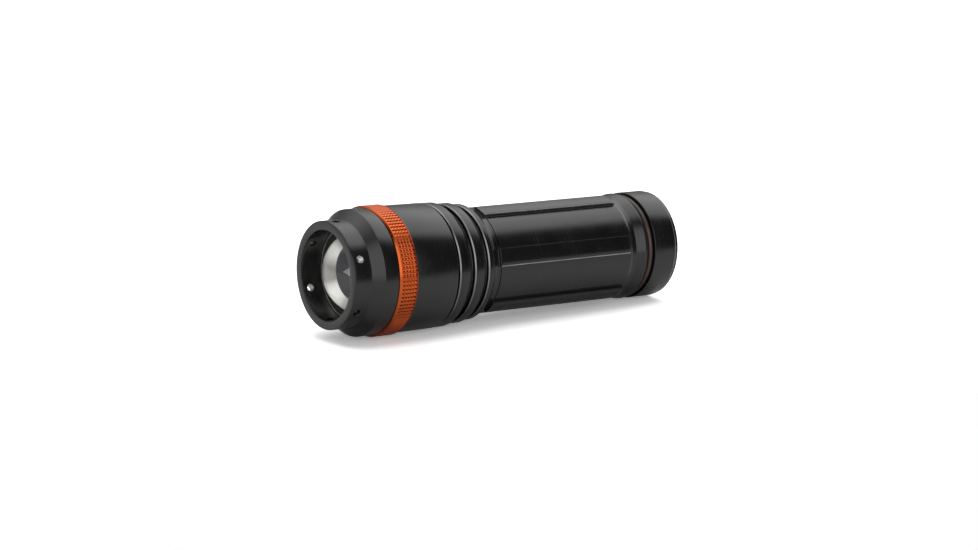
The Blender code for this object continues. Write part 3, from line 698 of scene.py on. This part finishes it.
# tail cap, with the thread on its spigot
cap_front = rounded([(89.8, 11.3, 0.1), (89.8, 12.6, 0.25), (94.6, 12.6, 0)])[:-1]
cap_rows = list(cap_front)
THREAD = [(90.2 + 0.1 * k, 12.55) for k in range(0, 43)]
cap_rows += THREAD
cap_rows += rounded([(94.6, 12.6, 0), (96.25, 12.6, 0.05), (96.25, 14.45, 0.12), (103.1, 14.45, 0.04, LEAD), (103.4, 14.3, 0.04, TRAIL), (104.3, 14.26, 0.35), (104.3, 6.2, 0.25),
                     (101.9, 6.2, 0.1), (101.9, 10.4, 0.1), (95.9, 10.4, 0), (95.9, 11.3, 0)], 6)


def thread(s, r, t):
    if not (90.2 <= s <= 94.4) or abs(r - 12.55) > 1e-6:
        return r
    w = (s - t / (2 * math.pi)) % 1.0
    return r - 0.55 * abs(w - 0.5) * 2 * min(1.0, (s - 90.2) / 0.4, (94.4 - s) / 0.4)


piece("tail_cap_turned", grid_mesh("tail_cap_turned", cap_rows, around(192), thread, True, 32),
      black, "tail_cap", ["tail_cap_shell"])

# O-ring at the parting line
ring = [(95.4 + 0.74 * math.cos(a), 13.22 + 0.66 * math.sin(a)) for a in around(24)]
piece("tail_o_ring_moulded", grid_mesh("tail_o_ring_moulded", ring, around(160), None, True, 60),
      brown_seal, "tail_cap", ["tail_o_ring"])

# rubber button: a shallow dome with a raised ring
button_rows = [(100.5, 0.0)] + rounded([(100.5, 5.8, 0.2), (103.75, 5.8, 0.7), (103.95, 4.3, 0.3)])[0:-1]
button_rows += [(103.98, 4.2), (103.7, 4.0), (103.66, 3.8), (103.72, 2.5), (103.8, 1.2), (103.82, 0.0)]
piece("tail_button_moulded", grid_mesh("tail_button_moulded", button_rows, around(96), None, False, 40),
      rubber, "tail_switch", ["tail_button"])

# ------------------------------------------------------ carried-over CAD nodes
carried = {
    "lens_o_ring": seal, "lens_clamp_ring": black_inner, "led_pill": bare, "zoom_o_ring_front": seal,
    "zoom_o_ring_rear": seal, "led_star_board": white_board, "led_emitter": phosphor, "led_gasket": white_plastic,
    "star_screw_a": screw_steel, "star_screw_b": screw_steel, "led_lead_positive": red_lead,
    "led_lead_negative": black_lead, "driver_board": green_board, "driver_spring": spring_steel,
    "carrier_frame": black_plastic, "cell_a": cell_wrap, "cell_b": cell_wrap, "cell_c": cell_wrap,
    "cell_spring_a": spring_steel, "cell_spring_b": spring_steel, "cell_spring_c": spring_steel,
    "carrier_front_contact": brass, "carrier_rear_contact": brass, "switch_retainer": bare,
    "switch_board": green_board, "switch_body": black_plastic, "tail_spring": spring_steel,
    "boot_washer": white_plastic, "switch_plunger": white_plastic,
}
for name, material in carried.items():
    NODES[name].data.materials.clear()
    NODES[name].data.materials.append(material)

# -------------------------------------------------------------------- stage
bm = bmesh.new()
corners = [bm.verts.new((x, y, 0)) for x, y in ((-1.6, -1.2), (0.135, -1.2), (0.135, 1.2), (-1.6, 1.2))]
bm.faces.new(corners)
floor_mesh = bpy.data.meshes.new("floor")
bm.to_mesh(floor_mesh)
bm.free()
floor = bpy.data.objects.new("floor", floor_mesh)
scene.collection.objects.link(floor)
touch = Vector((0, y_of(S_RING1 - 0.7), -0.00003))
floor.matrix_world = Matrix.Translation(touch) @ Matrix.Rotation(math.radians(FLOOR_TILT), 4, "X")
# A white sweep, exposed as a product shot is: seen by the camera it clips to white, and a painted glow that only the
# camera sees
# # lightens its shadow to a soft grey, while the object mirrors it at its true brightness.
n = Nodes("floor")
path = n.node("ShaderNodeLightPath")
grain = n.noise(n.coords, 60.0, 3.0, 0.5)
paper = n.ramp(grain, [(0.3, (0.775, 0.775, 0.775)), (0.7, (0.785, 0.785, 0.785))])
shown = n.ramp(grain, [(0.3, (1.0, 1.0, 1.0)), (0.7, (1.0, 1.0, 1.0))])
sheet = n.node("ShaderNodeBsdfDiffuse")
lit = n.mix(path.outputs["Is Camera Ray"], paper, shown)
bright = n.node("ShaderNodeVectorMath", operation="SCALE")
n.link(lit, bright.inputs[0])
n.link(n.remap(path.outputs["Is Camera Ray"], 0.0, 1.0, 1.0, 1.3), bright.inputs["Scale"])
n.link(bright.outputs["Vector"], sheet.inputs["Color"])
# painted glow, for camera rays only, that lightens the shadow on the floor
shadow_lift_glow = n.node("ShaderNodeEmission")
n.link(n.remap(path.outputs["Is Camera Ray"], 0.0, 1.0, 0.0, 0.24), shadow_lift_glow.inputs["Strength"])
both = n.node("ShaderNodeAddShader")
n.link(sheet.outputs[0], both.inputs[0])
n.link(shadow_lift_glow.outputs[0], both.inputs[1])
n.link(both.outputs[0], n.tree.nodes["Material Output"].inputs["Surface"])
floor_mesh.materials.append(n.mat)

world = bpy.data.worlds.new("studio")
scene.world = world
world.use_nodes = True
tree = world.node_tree
tree.nodes.clear()
coord = tree.nodes.new("ShaderNodeTexCoord")
split = tree.nodes.new("ShaderNodeSeparateXYZ")
tree.links.new(coord.outputs["Generated"], split.inputs[0])


def wmath(op, a, b=0.0, clamp=False):
    made = tree.nodes.new("ShaderNodeMath")
    made.operation, made.use_clamp = op, clamp
    for i, value in enumerate((a, b)):
        if isinstance(value, (int, float)):
            made.inputs[i].default_value = value
        else:
            tree.links.new(value, made.inputs[i])
    return made.outputs[0]


def wmap(value, a, b, c, d):
    made = tree.nodes.new("ShaderNodeMapRange")
    made.interpolation_type = "SMOOTHSTEP"
    tree.links.new(value, made.inputs["Value"])
    for key, number in (("From Min", a), ("From Max", b), ("To Min", c), ("To Max", d)):
        made.inputs[key].default_value = number
    return made.outputs["Result"]


X, Y, Z = split.outputs
# A long soft light above the object and a little behind it, lying along its axis,
# a soft panel in front, by the camera, and a small one behind the tail.
around_axis = wmath("ARCTAN2", Z, X)
strip = wmath("MULTIPLY", wmap(around_axis, 1.01, 1.33, 0.0, 2.6), wmap(around_axis, 1.95, 2.85, 1.0, 0.12))
strip = wmath("MULTIPLY", strip, wmath("MULTIPLY", wmap(Y, -0.76, -0.38, 0.0, 1.0), wmap(Y, 0.86, 0.99, 1.0, 0.0)))
front_panel = wmath("MULTIPLY", wmap(X, 0.10, 0.24, 0.0, 2.1), wmap(Y, 0.37, 0.22, 0.0, 1.0))
front_panel = wmath("MULTIPLY", front_panel, wmap(Y, -0.25, 0.08, 1.0, 1.75))
front_panel = wmath("MULTIPLY", front_panel, wmath("MULTIPLY", wmap(Z, -0.16, -0.02, 0.35, 1.0), wmap(Z, 0.76, 0.60, 0.0, 1.0)))
path = tree.nodes.new("ShaderNodeLightPath")
front_panel = wmath("MULTIPLY", front_panel, wmap(path.outputs["Is Diffuse Ray"], 0.0, 1.0, 1.0, 0.35))
tail_panel = wmap(Y, 0.94, 0.98, 0.0, 0.8)
strip = wmath("ADD", strip, wmath("ADD", front_panel, tail_panel))
ambient = wmath("ADD", strip, 0.055)
bg_light = tree.nodes.new("ShaderNodeBackground")
tree.links.new(ambient, bg_light.inputs["Strength"])
bg_seen = tree.nodes.new("ShaderNodeBackground")
bg_seen.inputs["Color"].default_value = (1.0, 1.0, 1.0, 1)
bg_seen.inputs["Strength"].default_value = 1.0
mixer = tree.nodes.new("ShaderNodeMixShader")
tree.links.new(path.outputs["Is Camera Ray"], mixer.inputs["Fac"])
tree.links.new(bg_light.outputs[0], mixer.inputs[1])
tree.links.new(bg_seen.outputs[0], mixer.inputs[2])
output = tree.nodes.new("ShaderNodeOutputWorld")
tree.links.new(mixer.outputs[0], output.inputs["Surface"])

bpy.context.view_layer.update()
